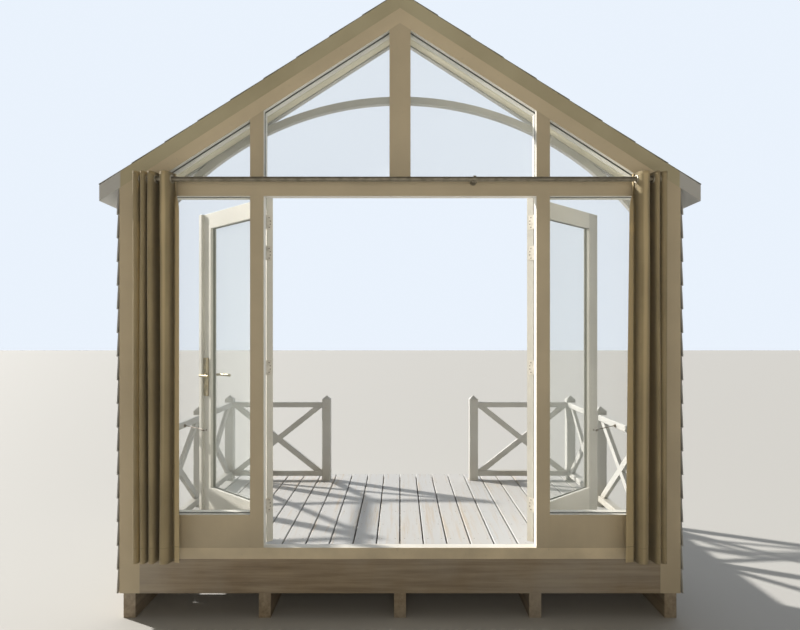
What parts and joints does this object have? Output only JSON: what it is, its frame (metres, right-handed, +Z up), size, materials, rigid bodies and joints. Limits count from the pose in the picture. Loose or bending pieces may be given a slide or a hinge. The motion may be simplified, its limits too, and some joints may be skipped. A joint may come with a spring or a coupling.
{
  "type": "glazed gable front with double doors and veranda of a beach house",
  "caption": "Timber gable end of a beach house with glass double doors, side and gable lights, an arched verge and a railed plank veranda.",
  "frame": {"origin": "on the ground, under the middle of the gable frame's depth and under its ridge", "axes": "+X to the right seen from the room, +Y out over the veranda, +Z up"},
  "size_m": [3.58, 2.4956, 3.7371],
  "materials": {
    "frame_paint": "satin cream paint on timber",
    "door_paint": "satin cream-white paint on timber",
    "outer_paint": "weathered white paint on timber",
    "wall_paint": "painted boards",
    "roof_boards": "painted boards",
    "deck_boards": "whitewashed, worn",
    "base_timber": "weathered, sawn",
    "glass": "clear",
    "aged_metal": "aged, dull",
    "pole_metal": "dark bronze",
    "curtain_cloth": "olive-brown woven cloth"
  },
  "bodies": {
    "frame": {"ground_bearers": "base_timber", "deck_joists": "base_timber", "deck_boards": "deck_boards", "floor_beam": "base_timber", "sill": "frame_paint", "jambs": "frame_paint", "door_posts": "frame_paint", "transom": "frame_paint", "side_panels": "frame_paint", "king_mullion": "frame_paint", "gable_mullions": "frame_paint", "left_rafter": "frame_paint", "right_rafter": "frame_paint", "side_glass": "glass", "gable_glass": "glass", "glazing_beads": "frame_paint", "left_wall_end": "wall_paint", "right_wall_end": "wall_paint", "left_roof_panel": "roof_boards", "right_roof_panel": "roof_boards", "left_bargeboard": "outer_paint", "right_bargeboard": "outer_paint", "arch": "outer_paint", "veranda_posts": "outer_paint", "left_front_railing": "outer_paint", "right_front_railing": "outer_paint", "left_side_railing": "outer_paint", "right_side_railing": "outer_paint", "frame_hinges": "aged_metal", "bolt_keeps": "aged_metal", "door_hooks": "aged_metal", "curtain_pole": "pole_metal", "left_curtain": "curtain_cloth", "right_curtain": "curtain_cloth"},
    "left_door": {"left_door_stiles": "door_paint", "left_door_rails": "door_paint", "left_door_glass": "glass", "left_door_beads": "door_paint", "left_door_hinges": "aged_metal", "left_door_astragal": "door_paint", "left_lock_plates": "aged_metal", "left_hook_eye": "aged_metal"},
    "left_lever": {"left_door_lever": "aged_metal"},
    "right_door": {"right_door_stiles": "door_paint", "right_door_rails": "door_paint", "right_door_glass": "glass", "right_door_beads": "door_paint", "right_door_hinges": "aged_metal", "right_hook_eye": "aged_metal"}
  },
  "joints": [
    {"name": "left_door", "type": "hinge", "parent": "frame", "child": "left_door", "pos_m": [-0.825, 0.065, 1.4635], "axis": [0, 0, 1], "range_deg": [-135, 0]},
    {"name": "right_door", "type": "hinge", "parent": "frame", "child": "right_door", "pos_m": [0.825, 0.065, 1.4635], "axis": [0, 0, 1], "range_deg": [0, 135]},
    {"name": "left_lever", "type": "hinge", "parent": "left_door", "child": "left_lever", "pos_m": [-1.36594, 0.60594, 1.4], "axis": [0.7071, 0.7071, 0], "range_deg": [0, 40], "stiffness_Nm_per_rad": 1.5, "springref_deg": -34.38}
  ]
}
